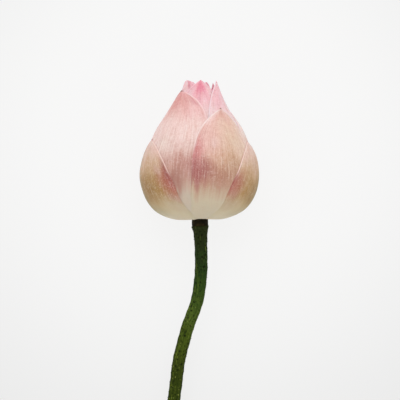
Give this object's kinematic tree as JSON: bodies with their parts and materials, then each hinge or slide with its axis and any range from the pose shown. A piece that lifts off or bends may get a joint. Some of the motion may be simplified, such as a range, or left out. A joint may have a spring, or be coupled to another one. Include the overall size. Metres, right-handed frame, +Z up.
{
  "type": "lotus flower",
  "caption": "Closed lotus flower bud of overlapping petals on a gently bent, finely prickled cut stem, lying on its side.",
  "frame": {"origin": "centre of the small flat spot of the back petal that the bud rests on", "axes": "+Z up from the surface, +Y from the stem's cut end towards the bud's tip, +X to the right as seen from above with the tip pointing away"},
  "size_m": [0.0712, 0.2311, 0.0706],
  "materials": {
    "outer_petal": "satin petal skin, cream at the base, olive tan in the middle, pink towards the tip and margins",
    "inner_petal": "satin petal skin, pink, deeper towards the tip",
    "stem_skin": "dull dark green rind with fine darker prickles",
    "receptacle_skin": "dull brown collar, with a yellow green young seed pod inside the bud",
    "stamen": "matt yellow"
  },
  "bodies": {
    "root": {"stem": "stem_skin", "receptacle": "receptacle_skin", "stamens": "stamen", "petal_outer_left": "outer_petal", "petal_outer_right": "outer_petal", "petal_outer_back": "outer_petal", "petal_front_right": "outer_petal", "petal_front_left": "outer_petal", "petal_back_right": "outer_petal", "petal_back_left": "outer_petal", "petal_crown_right": "inner_petal", "petal_crown_front": "inner_petal", "petal_crown_left": "inner_petal", "petal_crown_back": "inner_petal", "petal_crown_back_right": "inner_petal", "petal_crown_back_left": "inner_petal", "petal_inner_left": "inner_petal", "petal_heart_right": "inner_petal", "petal_heart_back": "inner_petal", "petal_heart_left": "inner_petal"}
  },
  "joints": []
}
